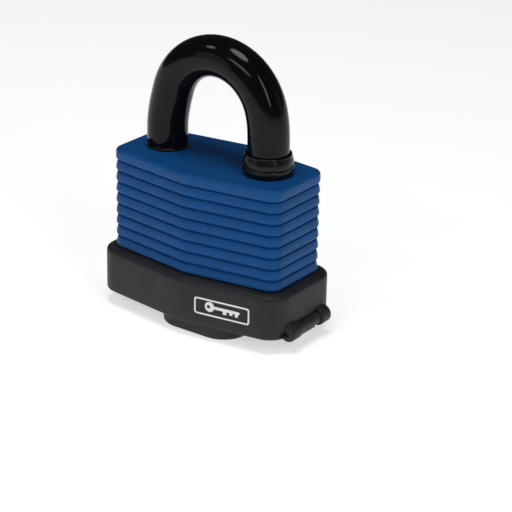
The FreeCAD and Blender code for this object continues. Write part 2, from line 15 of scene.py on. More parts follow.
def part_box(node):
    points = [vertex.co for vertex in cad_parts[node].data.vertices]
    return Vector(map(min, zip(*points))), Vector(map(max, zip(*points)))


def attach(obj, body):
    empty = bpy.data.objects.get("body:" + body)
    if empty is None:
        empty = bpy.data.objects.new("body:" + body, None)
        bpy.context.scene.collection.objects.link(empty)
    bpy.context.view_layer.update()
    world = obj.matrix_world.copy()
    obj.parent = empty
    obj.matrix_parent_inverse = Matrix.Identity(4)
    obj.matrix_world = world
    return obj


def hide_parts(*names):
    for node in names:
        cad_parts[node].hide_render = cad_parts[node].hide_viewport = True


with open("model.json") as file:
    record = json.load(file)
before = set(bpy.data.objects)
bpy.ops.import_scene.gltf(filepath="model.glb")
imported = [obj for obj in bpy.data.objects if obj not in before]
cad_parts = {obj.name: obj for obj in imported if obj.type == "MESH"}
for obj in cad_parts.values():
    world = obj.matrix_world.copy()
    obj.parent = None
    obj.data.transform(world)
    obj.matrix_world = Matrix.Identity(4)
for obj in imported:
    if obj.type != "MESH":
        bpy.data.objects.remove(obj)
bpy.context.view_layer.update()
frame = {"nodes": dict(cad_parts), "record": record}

bl_info = {
    "name": "Weather-covered padlock",
    "version": (1, 0, 0),
    "blender": (4, 5, 0),
    "location": "View3D > Sidebar > Padlock",
    "description": "Ribbed cover, base, flap, sleeve, seals, badge and stage of a padlock",
    "category": "Object",
}

MM = 0.001
COVER_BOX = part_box("body_cover")
FLAP_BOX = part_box("keyway_flap")
PAD_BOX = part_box("flap_pad")
PIN_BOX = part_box("flap_hinge_pin")
PLUG_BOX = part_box("plug")
SLEEVE_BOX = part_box("shackle_sleeve")
TOE_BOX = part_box("toe_seal")
HEEL_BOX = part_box("heel_seal")
BADGE_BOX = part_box("badge")

LEG_X = (TOE_BOX[0].x + TOE_BOX[1].x) / 2
HINGE_X = (PIN_BOX[0].x + PIN_BOX[1].x) / 2
HINGE_Z = (PIN_BOX[0].z + PIN_BOX[1].z) / 2
PIN_R = (PIN_BOX[1].z - PIN_BOX[0].z) / 2
FLOOR_Z = COVER_BOX[0].z
TOP_Z = COVER_BOX[1].z
BASE_Z = PAD_BOX[0].z + 0.1 * MM
SLEEVE_FOOT = SLEEVE_BOX[0].z
Z = Vector((0, 0, 1))

# Shapes that no property sets.
FLAP_END = 16.6 * MM        # the flap's plate, towards the hinge
ARM_FOOT = 2.7 * MM         # underside of the flap's arm and neck
GRIP_R = 5 * MM             # scoop for a fingernail in the flap's free edge
GRIP_BITE = MM
GRIP_DEPTH = 1.4 * MM
LUG_EDGE = 0.35 * MM
LUG_RING_R = 2.1 * MM
LUG_RING_RISE = 0.3 * MM
SLEEVE_END_EDGE = 0.35 * MM
SLEEVE_END_DEPTH = 2.0 * MM
LEAN_RISE = 12 * MM         # height over which the sleeve takes up its lean
BEAD_WIDTH = 0.42 * MM
BEAD_RISE = 0.22 * MM

# Clearances.
KNUCKLE_GAP = 0.3 * MM
BORE_GAP = 0.06 * MM
PAD_GAP = 0.6 * MM
PAD_ROOF_GAP = 0.35 * MM
PLUG_GAP = 0.25 * MM
SEAL_GAP = 0.3 * MM

# Cutters run past what they cut.
PIN_REACH = 0.03
END_REACH = 0.05


def length(label, text, default):
    return FloatProperty(
        name=label, description=text, default=default, min=0.0, unit="LENGTH", precision=5
    )


def colour(label, text, default):
    return FloatVectorProperty(
        name=label, description=text, default=default, size=3, min=0.0, max=1.0, subtype="COLOR"
    )


class PadlockSizes(bpy.types.PropertyGroup):
    half_width: length("Half width", "Cover's centre to its short ends", COVER_BOX[1].x)
    half_depth: length("Half depth", "Centre to where the long sides' flats would meet", 15.43 * MM)
    bow: length("Bow", "How far a long side's middle stands past its ends", 3.98 * MM)
    bend_r: length("Bend radius", "Where the two flats of a long side meet", 10.0 * MM)
    corner_r: length("Corner radius", "Cover's four upright corners", 4.0 * MM)
    wall: length("Cavity inset", "Rib crests to the cover's inside", 2.55 * MM)
    roof: length("Roof", "Thickness of the cover's top", 1.8 * MM)
    rib_pitch: length("Rib pitch", "Height of one rib", 3.3 * MM)
    rib_depth: length("Rib depth", "Groove below the crests", 0.95 * MM)
    rib_count: IntProperty(name="Ribs", description="Ribs from base to top", default=9, min=2)
    top_edge: length("Top edge", "Rounding of the cover's upper edge", 0.9 * MM)
    leg_hole: length("Leg hole", "Radius of the holes for the shackle", 4.75 * MM)
    overhang: length("Base overhang", "Base outside the rib crests", 2.86 * MM)
    base_wall: length("Base wall", "Height of the base's upright wall", 11.73 * MM)
    shoulder: length("Shoulder", "Height of the base's rounded shoulder", 1.47 * MM)
    base_edge: length("Base edge", "Rounding of the base's lower edge", 0.7 * MM)
    lug_r: length("Lug radius", "Hinge lugs' outer radius", 2.6 * MM)
    lug_thick: length("Lug thickness", "Hinge lug along the pin", 4.1 * MM)
    lug_y: length("Lug start", "Centre plane to the lugs' inner faces", 5.0 * MM)
    knuckle_r: length("Knuckle radius", "Flap's hinge knuckle", 1.9 * MM)
    flap_corner: length("Flap corner", "Corner radius of the flap", 8.0 * MM)
    flap_edge: length("Flap edge", "Rounding of the flap's lower edge", 0.8 * MM)
    arm_width: length("Arm width", "Flap's arm and knuckle along the pin", 9.6 * MM)
    sleeve_r: length("Sleeve radius", "Outside of the shackle's sleeve", 5.85 * MM)
    core_r: length("Core radius", "Steel inside the sleeve", 4.5 * MM)
    arch_z: length("Arch start", "Height where the legs start to bend", 52.9 * MM)
    haunch_r: length("Haunch radius", "Slow bend at the foot of the arch", 44.5 * MM)
    haunch_angle: FloatProperty(
        name="Haunch angle",
        description="How far the slow bend turns",
        default=math.radians(15.6),
        subtype="ANGLE",
    )
    lean: length("Lean", "How far the sleeve's crown stands towards the toe leg", 0.5 * MM)
    badge_line: length("Badge line", "Width of the badge's printed frame", 0.46 * MM)
    badge_thick: length("Badge thickness", "Badge above the base's wall", 0.12 * MM)


class PadlockColours(bpy.types.PropertyGroup):
    cover: colour("Cover", "Blue moulded cover", (0.0045, 0.081, 0.272))
    base: colour("Base", "Charcoal base and flap", (0.0225, 0.0225, 0.0232))
    sleeve: colour("Sleeve", "Shackle's plastic sleeve", (0.004, 0.004, 0.005))
    rubber: colour("Seals", "Rubber seals", (0.006, 0.006, 0.006))
    steel: colour("Steel", "Plated steel", (0.56, 0.57, 0.58))
    brass: colour("Brass", "Lock cylinder", (0.62, 0.42, 0.16))
    print_white: colour("Print", "Badge's white print", (0.95, 0.95, 0.96))
    floor: colour("Floor", "Stage's pale floor", (0.9, 0.9, 0.9))


# ---- meshes -------------------------------------------------------------------


def link(name, mesh):
    piece = bpy.data.objects.new(name, mesh)
    bpy.context.scene.collection.objects.link(piece)
    return piece


def to_object(bm, name):
    mesh = bpy.data.meshes.new(name)
    bm.to_mesh(mesh)
    bm.free()
    return link(name, mesh)


def tidy(bm, dist=2e-6):
    bmesh.ops.remove_doubles(bm, verts=bm.verts, dist=dist)
    bmesh.ops.dissolve_degenerate(bm, dist=1e-7, edges=bm.edges)
    bmesh.ops.recalc_face_normals(bm, faces=bm.faces)


def bake_modifiers(piece):
    """Turns the evaluated object into a plain mesh without modifiers."""
    deps = bpy.context.evaluated_depsgraph_get()
    mesh = bpy.data.meshes.new_from_object(piece.evaluated_get(deps))
    old = piece.data
    piece.modifiers.clear()
    if isinstance(old, bpy.types.Curve):
        name = piece.name
        bpy.data.objects.remove(piece)
        bpy.data.curves.remove(old)
        return link(name, mesh)
    piece.data = mesh
    bpy.data.meshes.remove(old)
    return piece


def combine(piece, parts, operation):
    """Adds the parts to a closed piece, or cuts them out of it, one after another."""
    for part in parts:
        mod = piece.modifiers.new(part.name, "BOOLEAN")
        mod.operation = operation
        mod.solver = "EXACT"
        mod.object = part
    piece = bake_modifiers(piece)
    for part in parts:
        mesh = part.data
        bpy.data.objects.remove(part)
        bpy.data.meshes.remove(mesh)
    return piece


def shade(piece, angle):
    mesh = piece.data
    mesh.polygons.foreach_set("use_smooth", [True] * len(mesh.polygons))
    mesh.set_sharp_from_angle(angle=math.radians(angle))


def finish_piece(piece, body, mat, nodes=(), angle=32):
    shade(piece, angle)
    piece.data.materials.clear()
    piece.data.materials.append(mat)
    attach(piece, body)
    if nodes:
        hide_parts(*nodes)
    return piece


def skin(bm, rows):
    """Joins closed rings of vertices, each to the next."""
    for low, high in zip(rows, rows[1:]):
        count = len(low)
        for i in range(count):
            j = (i + 1) % count
            bm.faces.new((low[i], low[j], high[j], high[i]))


def loop_edges(bm, ring):
    found = []
    for i, vert in enumerate(ring):
        pair = (vert, ring[(i + 1) % len(ring)])
        found.append(bm.edges.get(pair) or bm.edges.new(pair))
    return found


def fill(bm, rings, normal):
    """Flat face between an outer ring and the holes in it."""
    edges = []
    for ring in rings:
        edges += loop_edges(bm, ring)
    bmesh.ops.triangle_fill(bm, use_beauty=True, edges=edges, normal=normal)


def circle(bm, r, x, y, z, count=48):
    turn = math.tau / count
    return [
        bm.verts.new((x + r * math.cos(i * turn), y + r * math.sin(i * turn), z))
        for i in range(count)
    ]


def round_bar(name, r, start, end, edge=0.0, count=56):
    """Closed bar between two points, its end edges rounded."""
    bm = bmesh.new()
    span = (end - start).length
    rows = []
    steps = 3 if edge else 0
    for k in range(steps + 1):
        a = (math.pi / 2) * (k / steps if steps else 1)
        rows.append((r - edge * (1 - math.sin(a)), edge * (1 - math.cos(a))))
    profile = rows + [(radius, span - up) for radius, up in reversed(rows)]
    rings = [circle(bm, radius, 0, 0, up, count) for radius, up in profile]
    skin(bm, rings)
    bm.faces.new(list(reversed(rings[0])))
    bm.faces.new(rings[-1])
    turn = (end - start).normalized().to_track_quat("Z", "Y").to_matrix().to_4x4()
    bm.transform(Matrix.Translation(start) @ turn)
    tidy(bm)
    return to_object(bm, name)


def block(name, low, high, edge=0.0):
    bm = bmesh.new()
    bmesh.ops.create_cube(bm, size=1.0)
    size = high - low
    bm.transform(Matrix.Translation((low + high) / 2) @ Matrix.Diagonal((*size, 1)))
    if edge:
        bmesh.ops.bevel(bm, geom=bm.edges, offset=edge, segments=3, profile=0.5, affect="EDGES")
    tidy(bm)
    return to_object(bm, name)


def lathe(name, section, x, count=96):
    """Closed (radius, height) section turned about an upright axis at x."""
    bm = bmesh.new()
    rings = [circle(bm, r, x, 0, z, count) for r, z in section]
    skin(bm, rings + [rings[0]])
    bmesh.ops.recalc_face_normals(bm, faces=bm.faces)
    return to_object(bm, name)


def arc_points(cx, cy, r, start, end, count):
    """Places and outward directions along an arc, without its last point."""
    found = []
    for k in range(count):
        a = start + (end - start) * k / count
        found.append((cx + r * math.cos(a), cy + r * math.sin(a), math.cos(a), math.sin(a)))
    return found


def cover_tilt(s):
    return math.atan2(s.bow, s.half_width)


def plan(s):
    """The cover's crest outline: places and outward directions, anticlockwise.

    Short straight ends, and long sides of two flats that meet in a soft bend.
    """
    tilt = cover_tilt(s)
    lean = (math.sin(tilt), math.cos(tilt))
    cx = s.half_width - s.corner_r
    cy = (s.half_depth * lean[1] - s.corner_r - cx * lean[0]) / lean[1]
    bend_y = s.half_depth - s.bend_r / lean[1]
    quarter = [(s.half_width, cy * k / 4, 1.0, 0.0) for k in range(4)]
    quarter += arc_points(cx, cy, s.corner_r, 0.0, math.pi / 2 - tilt, 12)
    ax, ay = cx + s.corner_r * lean[0], cy + s.corner_r * lean[1]
    bx, by = s.bend_r * lean[0], bend_y + s.bend_r * lean[1]
    for k in range(16):
        t = k / 16
        quarter.append((ax + (bx - ax) * t, ay + (by - ay) * t, lean[0], lean[1]))
    quarter += arc_points(0, bend_y, s.bend_r, math.pi / 2 - tilt, math.pi / 2, 5)
    quarter.append((0.0, bend_y + s.bend_r, 0.0, 1.0))
    ring = []
    for sx, sy in ((1, 1), (-1, 1), (-1, -1), (1, -1)):
        part = [(x * sx, y * sy, nx * sx, ny * sy) for x, y, nx, ny in quarter]
        ring += (part if sx * sy > 0 else part[::-1])[:-1]
    return ring


def plan_ring(bm, outline, offset, z):
    return [bm.verts.new((x + nx * offset, y + ny * offset, z)) for x, y, nx, ny in outline]


def rounded_rect(cx, cy, half_x, half_y, r, count=10):
    ring = []
    for sx, sy, start in ((1, 1, 0), (-1, 1, 1), (-1, -1, 2), (1, -1, 3)):
        a = start * math.pi / 2
        centre = (cx + sx * (half_x - r), cy + sy * (half_y - r))
        ring += arc_points(*centre, r, a, a + math.pi / 2, count)
        ring.append((
            centre[0] + r * math.cos(a + math.pi / 2),
            centre[1] + r * math.sin(a + math.pi / 2),
            math.cos(a + math.pi / 2),
            math.sin(a + math.pi / 2),
        ))
    return ring


# ---- geometry nodes -----------------------------------------------------------


def socket(sockets, name):
    return next(s for s in sockets if s.name == name and s.enabled)


class Tree:
    """A Geometry Nodes tree under construction, with named inputs."""

    def __init__(self, name, inputs):
        self.tree = bpy.data.node_groups.new(name, "GeometryNodeTree")
        self.tree.is_modifier = True
        face = self.tree.interface
        face.new_socket("Geometry", in_out="INPUT", socket_type="NodeSocketGeometry")
        for label, kind in inputs:
            face.new_socket(label, in_out="INPUT", socket_type="NodeSocket" + kind)
        face.new_socket("Geometry", in_out="OUTPUT", socket_type="NodeSocketGeometry")
        self.given = self.tree.nodes.new("NodeGroupInput").outputs

    def add(self, kind, inputs=(), **settings):
        node = self.tree.nodes.new(kind)
        for key, value in settings.items():
            setattr(node, key, value)
        for key, value in dict(inputs).items():
            target = node.inputs[key] if isinstance(key, int) else socket(node.inputs, key)
            if isinstance(value, bpy.types.NodeSocket):
                self.tree.links.new(value, target)
            else:
                target.default_value = value
        return node

    def math(self, operation, *values):
        made = self.add("ShaderNodeMath", dict(enumerate(values)), operation=operation)
        return made.outputs[0]

    def vector(self, operation, *values):
        node = self.add("ShaderNodeVectorMath", operation=operation)
        for i, value in enumerate(values):
            target = node.inputs[i]
            if operation == "SCALE" and i == 1:
                target = node.inputs["Scale"]
            if isinstance(value, bpy.types.NodeSocket):
                self.tree.links.new(value, target)
            else:
                target.default_value = value
        return node.outputs[0]

    def close(self, geometry):
        """Ends the tree in Realize Instances and Set Material."""
        real = self.add("GeometryNodeRealizeInstances", {"Geometry": geometry})
        done = self.add(
            "GeometryNodeSetMaterial",
            {"Geometry": real.outputs[0], "Material": self.given["Material"]},
        )
        out = self.tree.nodes.new("NodeGroupOutput")
        self.tree.links.new(done.outputs[0], out.inputs[0])
        return self.tree


def run_tree(piece, tree, values):
    mod = piece.modifiers.new(tree.name, "NODES")
    mod.node_group = tree
    for item in tree.interface.items_tree:
        if item.item_type == "SOCKET" and item.in_out == "INPUT" and item.name in values:
            mod[item.identifier] = values[item.name]
    return bake_modifiers(piece)


# A rib from its foot to its top: share of the pitch, and share of the depth inwards.
RIB_SHAPE = (
    (0.0, 1.0), (0.05, 0.8), (0.12, 0.12), (0.25, 0.0),
    (0.55, 0.13), (0.85, 0.42), (0.95, 0.92), (1.0, 1.0),
)
RIB_ROWS = 20
# The topmost rib, which runs up into the rounded edge: the same two shares, depth first.
TOP_RIB = ((0.3, 0.05), (0.06, 0.13), (0.0, 0.24), (0.0, 0.45))


def rib_tree():
    """Rows of ribs that follow a plan outline: each swells low and steps in at its foot."""
    t = Tree("Ribs", [
        ("Ribs", "Int"), ("Pitch", "Float"), ("Depth", "Float"), ("Foot", "Float"),
        ("Around", "Int"), ("Rows", "Int"), ("Material", "Material"),
    ])
    given = t.given
    rows = t.math("MULTIPLY", given["Ribs"], given["Rows"])
    grid = t.add("GeometryNodeMeshGrid", {
        "Size X": 1.0,
        "Size Y": 1.0,
        "Vertices X": t.math("ADD", given["Around"], 1.0),
        "Vertices Y": t.math("ADD", rows, 1.0),
    })
    place = t.add("ShaderNodeSeparateXYZ", {0: t.add("GeometryNodeInputPosition").outputs[0]})
    across = t.math("MULTIPLY", t.math("ADD", place.outputs[0], 0.5), given["Around"])
    column = t.math("MODULO", t.math("ROUND", across), given["Around"])
    row = t.math("ROUND", t.math("MULTIPLY", t.math("ADD", place.outputs[1], 0.5), rows))
    part = t.math("DIVIDE", t.math("MODULO", row, given["Rows"]), given["Rows"])
    shape = t.add("ShaderNodeFloatCurve", {"Value": part})
    curve = shape.mapping.curves[0]
    for _ in RIB_SHAPE[2:]:
        curve.points.new(0.5, 0.5)
    for point, at in zip(curve.points, RIB_SHAPE):
        point.location = at
        point.handle_type = "VECTOR"
    shape.mapping.update()
    out = t.add("GeometryNodeInputNamedAttribute", {"Name": "out"}, data_type="FLOAT_VECTOR")
    spots = []
    for field in (t.add("GeometryNodeInputPosition").outputs[0], out.outputs["Attribute"]):
        sample = t.add(
            "GeometryNodeSampleIndex",
            {"Geometry": given["Geometry"], "Value": field, "Index": column},
            data_type="FLOAT_VECTOR",
            domain="POINT",
        )
        spots.append(socket(sample.outputs, "Value"))
    inset = t.math("MULTIPLY", t.math("MULTIPLY", shape.outputs[0], given["Depth"]), -1.0)
    up = t.math("MULTIPLY", t.math("DIVIDE", row, given["Rows"]), given["Pitch"])
    rise = t.add("ShaderNodeCombineXYZ", {2: t.math("ADD", up, given["Foot"])})
    spot = t.vector("ADD", spots[0], t.vector("SCALE", spots[1], inset))
    spot = t.vector("ADD", spot, rise.outputs[0])
    moved = t.add("GeometryNodeSetPosition", {"Geometry": grid.outputs[0], "Position": spot})
    joined = t.add("GeometryNodeMergeByDistance", {"Geometry": moved.outputs[0], "Distance": 1e-6})
    return t.close(joined.outputs[0])


def sweep_tree():
    """A round tube along a path, as thick as the path's radius says."""
    t = Tree("Sleeve sweep", [("Radius", "Float"), ("Sides", "Int"), ("Material", "Material")])
    ring = t.add("GeometryNodeCurvePrimitiveCircle", {
        "Resolution": t.given["Sides"], "Radius": t.given["Radius"],
    })
    tube = t.add("GeometryNodeCurveToMesh", {
        "Curve": t.given["Geometry"], "Profile Curve": ring.outputs[0],
    })
    return t.close(tube.outputs[0])


# ---- materials ----------------------------------------------------------------


SOCKETS = {
    "metallic": "Metallic",
    "specular_ior_level": "Specular IOR Level",
}


def node_material(name, colour, rough, grain, **more):
    """Satin or glossy finish: fine grain, slow mottling and uneven roughness.

    grain is (features per metre, height); mottle is how far the colour wanders.
    name must differ from every slot's name, because the frame's own materials have those.
    """
    mat = bpy.data.materials.get(name)
    if mat:
        return mat
    mottle = more.pop("mottle", 0.12)
    stretch = more.pop("stretch", (1.0, 1.0, 1.0))
    spread = more.pop("spread", 0.06)
    mat = bpy.data.materials.new(name)
    mat.use_nodes = True
    tree = mat.node_tree
    new, join = tree.nodes.new, tree.links.new
    shader = tree.nodes["Principled BSDF"]
    for key, value in more.items():
        shader.inputs[SOCKETS[key]].default_value = value
    coords = new("ShaderNodeTexCoord")
    mapping = new("ShaderNodeMapping")
    mapping.inputs["Scale"].default_value = stretch
    join(coords.outputs["Object"], mapping.inputs["Vector"])

    def noise(scale, detail):
        made = new("ShaderNodeTexNoise")
        made.inputs["Scale"].default_value = scale
        made.inputs["Detail"].default_value = detail
        join(mapping.outputs["Vector"], made.inputs["Vector"])
        return made.outputs[0]

    slow = noise(160.0, 4.0)
    ramp = new("ShaderNodeValToRGB")
    ramp.color_ramp.elements[0].position = 0.3
    ramp.color_ramp.elements[1].position = 0.7
    ramp.color_ramp.elements[0].color = (*[c * (1 - mottle) for c in colour], 1)
    ramp.color_ramp.elements[1].color = (*[c * (1 + mottle) for c in colour], 1)
    join(slow, ramp.inputs[0])
    join(ramp.outputs[0], shader.inputs["Base Color"])
    patch = noise(420.0, 3.0)
    gloss = new("ShaderNodeMapRange")
    gloss.inputs["To Min"].default_value = max(rough - spread, 0.02)
    gloss.inputs["To Max"].default_value = rough + spread
    join(patch, gloss.inputs["Value"])
    join(gloss.outputs[0], shader.inputs["Roughness"])
    bump = new("ShaderNodeBump")
    bump.inputs["Strength"].default_value = 1.0
    bump.inputs["Distance"].default_value = grain[1]
    join(noise(grain[0], 5.0), bump.inputs["Height"])
    join(bump.outputs[0], shader.inputs["Normal"])
    return mat


def finishes(c):
    """Every finish of the lock, by the record's slot."""
    steel = dict(metallic=1.0, mottle=0.08)
    return {
        "cover_blue": node_material(
            "moulded_blue", c.cover, 0.45, (2600, 9e-6), mottle=0.06, specular_ior_level=0.18
        ),
        "base_charcoal": node_material(
            "moulded_charcoal", c.base, 0.5, (2200, 1.4e-5), specular_ior_level=0.26
        ),
        "flap_charcoal": node_material(
            "flap_moulding", c.base, 0.52, (2200, 1.4e-5), specular_ior_level=0.3
        ),
        "seal_rubber": node_material(
            "moulded_rubber", c.rubber, 0.24, (1500, 4e-6), spread=0.04, specular_ior_level=0.3
        ),
        "sleeve_black": node_material(
            "sleeve_gloss", c.sleeve, 0.09, (700, 3e-6), spread=0.03, mottle=0.2,
            specular_ior_level=0.18,
        ),
        "badge_white": node_material(
            "badge_print", c.print_white, 0.5, (3000, 3e-6), mottle=0.03
        ),
        "shackle_steel": node_material(
            "polished_steel", c.steel, 0.22, (1800, 2e-6), stretch=(1, 1, 0.05), **steel
        ),
        "hinge_steel": node_material("pin_steel", c.steel, 0.3, (1500, 3e-6), **steel),
        "lamination_steel": node_material(
            "sheet_steel", [v * 0.8 for v in c.steel], 0.38, (1600, 5e-6), stretch=(1, 1, 6), **steel
        ),
        "rivet_steel": node_material("headed_steel", c.steel, 0.33, (1300, 4e-6), **steel),
        "spring_steel": node_material("wire_steel", c.steel, 0.28, (2400, 2e-6), **steel),
        "lock_brass": node_material(
            "turned_brass", c.brass, 0.26, (1900, 3e-6), stretch=(1, 1, 4), metallic=1.0, mottle=0.1
        ),
        "inner_steel": node_material(
            "milled_steel", [v * 0.7 for v in c.steel], 0.4, (1500, 5e-6), **steel
        ),
    }


def finish_of(context, slot):
    return finishes(context.scene.padlock_colours)[slot]


# ---- pieces -------------------------------------------------------------------


def make_ribs(s, outline, mat):
    """Bands of ribs below the topmost one, as a plain mesh."""
    mesh = bpy.data.meshes.new("plan")
    mesh.from_pydata([(x, y, 0) for x, y, _, _ in outline], [], [])
    out = mesh.attributes.new("out", "FLOAT_VECTOR", "POINT")
    out.data.foreach_set("vector", [v for p in outline for v in (p[2], p[3], 0.0)])
    foot = TOP_Z - s.rib_count * s.rib_pitch
    values = {
        "Ribs": s.rib_count - 1, "Pitch": s.rib_pitch, "Depth": s.rib_depth, "Foot": foot,
        "Around": len(outline), "Rows": RIB_ROWS, "Material": mat,
    }
    return run_tree(link("rib_bands", mesh), rib_tree(), values)


def upper_rows(s):
    """Offsets and heights of the topmost rib and the rounded edge above it."""
    z = TOP_Z - s.rib_pitch
    rows = [(-s.rib_depth, z)]
    rows += [(-inward * s.rib_depth, z + up * s.rib_pitch) for inward, up in TOP_RIB]
    for k in range(7):
        a = k / 6 * math.pi / 2
        low = TOP_Z - s.top_edge
        rows.append((-s.top_edge * (1 - math.cos(a)) - 0.02 * MM, low + s.top_edge * math.sin(a)))
    return rows


def make_cover(s, mat):
    outline = plan(s)
    ribs = make_ribs(s, outline, mat)
    bm = bmesh.new()
    bm.from_mesh(ribs.data)
    roof_z = TOP_Z - s.roof
    foot = TOP_Z - s.rib_count * s.rib_pitch
    lower = [(-s.wall, roof_z), (-s.wall, FLOOR_Z), (-s.rib_depth, FLOOR_Z), (-s.rib_depth, foot)]
    inside = [plan_ring(bm, outline, *row) for row in lower]
    upper = [plan_ring(bm, outline, *row) for row in upper_rows(s)]
    skin(bm, inside)
    skin(bm, upper)
    holes_top, holes_roof = [], []
    for x in (-LEG_X, LEG_X):
        high = circle(bm, s.leg_hole, x, 0, TOP_Z)
        low = circle(bm, s.leg_hole, x, 0, roof_z)
        skin(bm, [low, high])
        holes_top.append(high)
        holes_roof.append(low)
    fill(bm, [upper[-1]] + holes_top, Z)
    fill(bm, [inside[0]] + holes_roof, -Z)
    tidy(bm)
    old = ribs.data
    bpy.data.objects.remove(ribs)
    bpy.data.meshes.remove(old)
    return to_object(bm, "cover_skin")


def base_solid(s):
    """The base before its sockets and recesses are cut."""
    bm = bmesh.new()
    outline = plan(s)
    top = BASE_Z + s.base_wall
    out, edge, rise = s.overhang, s.base_edge, s.shoulder
    rows = []
    for k in range(5):
        a = k / 4 * math.pi / 2
        rows.append((out - edge * (1 - math.sin(a)), BASE_Z + edge * (1 - math.cos(a))))
    rows += [(out, BASE_Z + s.base_wall * f) for f in (0.25, 0.45, 0.65, 0.85)]
    for k in range(9):
        a = k / 8 * math.pi / 2
        inward = 1 - math.cos(a)
        rows.append((out - 0.92 * out * inward, top + rise * math.sin(a) ** 0.85))
    rows.append((-0.5 * MM, top + rise))
    rings = [plan_ring(bm, outline, *row) for row in rows]
    skin(bm, rings)
    bm.faces.new(list(reversed(rings[0])))
    bm.faces.new(rings[-1])
    tidy(bm)
    return to_object(bm, "base_skin")


def along_pin(name, r, y0, y1, edge=0.0, count=56):
    return round_bar(name, r, Vector((HINGE_X, y0, HINGE_Z)), Vector((HINGE_X, y1, HINGE_Z)), edge, count)


def hinge_lug(s, side):
    """Round-nosed lug with a raised ring round the pin's hole on its outer face."""
    y0, y1 = sorted((side * s.lug_y, side * (s.lug_y + s.lug_thick)))
    barrel = along_pin("barrel", s.lug_r, y0, y1, LUG_EDGE)
    low = Vector((s.half_width, y0 + 0.2 * MM, BASE_Z))
    high = Vector((HINGE_X, y1 - 0.2 * MM, HINGE_Z + s.lug_r - 0.02 * MM))
    web = block("web", low, high, 0.3 * MM)
    face = side * (s.lug_y + s.lug_thick)
    y2, y3 = sorted((face - side * MM, face + side * LUG_RING_RISE))
    ring = along_pin("ring", LUG_RING_R, y2, y3, 0.25 * MM)
    lug = combine(barrel, [web, ring], "UNION")
    lug.name = "lug"
    return lug


def make_base(s):
    base = combine(base_solid(s), [hinge_lug(s, -1), hinge_lug(s, 1)], "UNION")
    bm = bmesh.new()
    outline = plan(s)
    deep = [plan_ring(bm, outline, -s.rib_depth + 0.05 * MM, z) for z in (FLOOR_Z, 30 * MM)]
    skin(bm, deep)
    bm.faces.new(list(reversed(deep[0])))
    bm.faces.new(deep[1])
    tidy(bm)
    recess = s.knuckle_r + KNUCKLE_GAP
    low, high = BASE_Z - MM, FLOOR_Z + MM
    pad_r = (PAD_BOX[1].x - PAD_BOX[0].x) / 2 + PAD_GAP
    plug_r = (PLUG_BOX[1].x - PLUG_BOX[0].x) / 2 + PLUG_GAP
    cutters = [
        to_object(bm, "socket"),
        along_pin("recess", recess, -s.lug_y, s.lug_y),
        block("mouth", Vector((HINGE_X, -s.lug_y, 0)), Vector((END_REACH, s.lug_y, HINGE_Z + recess))),
        block("under", Vector((HINGE_X - recess, -s.lug_y, 0)), Vector((HINGE_X, s.lug_y, HINGE_Z))),
        along_pin("pin_hole", PIN_R, -PIN_REACH, PIN_REACH),
        round_bar("plug_hole", plug_r, Vector((0, 0, low)), Vector((0, 0, high))),
        round_bar("pad_hole", pad_r, Vector((0, 0, low)), Vector((0, 0, PAD_BOX[1].z + PAD_ROOF_GAP))),
    ]
    return combine(base, cutters, "DIFFERENCE")


def make_flap(s):
    lo, hi = FLAP_BOX
    top = BASE_Z - 0.1 * MM
    width = hi.y - lo.y
    centre = (lo.x + FLAP_END) / 2
    outline = rounded_rect(centre, 0, (FLAP_END - lo.x) / 2, width / 2, s.flap_corner, 14)
    bm = bmesh.new()
    rows = []
    for k in range(5):
        a = k / 4 * math.pi / 2
        rows.append((-s.flap_edge * (1 - math.sin(a)), s.flap_edge * (1 - math.cos(a))))
    rows += [(0.0, 0.6 * top), (0.0, top - 0.15 * MM), (-0.15 * MM, top)]
    rings = [plan_ring(bm, outline, *row) for row in rows]
    skin(bm, rings)
    bm.faces.new(list(reversed(rings[0])))
    bm.faces.new(rings[-1])
    tidy(bm)
    plate = to_object(bm, "flap_skin")
    half = s.arm_width / 2
    arm = block("arm", Vector((centre, -half, ARM_FOOT)), Vector((HINGE_X, half, top)))
    neck = block(
        "neck", Vector((HINGE_X - s.knuckle_r, -half, ARM_FOOT)), Vector((HINGE_X, half, HINGE_Z))
    )
    knuckle = along_pin("knuckle", s.knuckle_r, -half, half)
    flap = combine(plate, [arm, neck, knuckle], "UNION")
    bore = along_pin("bore", PIN_R + BORE_GAP, -PIN_REACH, PIN_REACH)
    grip_x = lo.x - GRIP_R + GRIP_BITE
    low, high = top - GRIP_DEPTH, top + MM
    grip = round_bar("grip", GRIP_R, Vector((grip_x, 0, low)), Vector((grip_x, 0, high)))
    return combine(flap, [bore, grip], "DIFFERENCE")


def loop_line(s):
    """Centreline of the sleeve from the heel leg's foot over the arch to the toe leg's."""
    a = s.haunch_angle
    far = s.haunch_r - LEG_X
    crown_z = s.arch_z + far * math.tan(a)
    crown_r = s.haunch_r - far / math.cos(a)
    steps = 12
    left = [Vector((-LEG_X, 0, SLEEVE_FOOT + (s.arch_z - SLEEVE_FOOT) * k / 8)) for k in range(8)]
    for k in range(steps):
        t = a * k / steps
        left.append(Vector((far - s.haunch_r * math.cos(t), 0, s.arch_z + s.haunch_r * math.sin(t))))
    for k in range(25):
        t = a + (math.pi / 2 - a) * k / 24
        left.append(Vector((-crown_r * math.cos(t), 0, crown_z + crown_r * math.sin(t))))
    right = [Vector((-p.x, 0, p.z)) for p in reversed(left[:-1])]
    line = left + right
    for p in line:
        t = min(max((p.z - s.arch_z) / LEAN_RISE, 0.0), 1.0)
        p.x += s.lean * t * t * (3 - 2 * t)
    return line


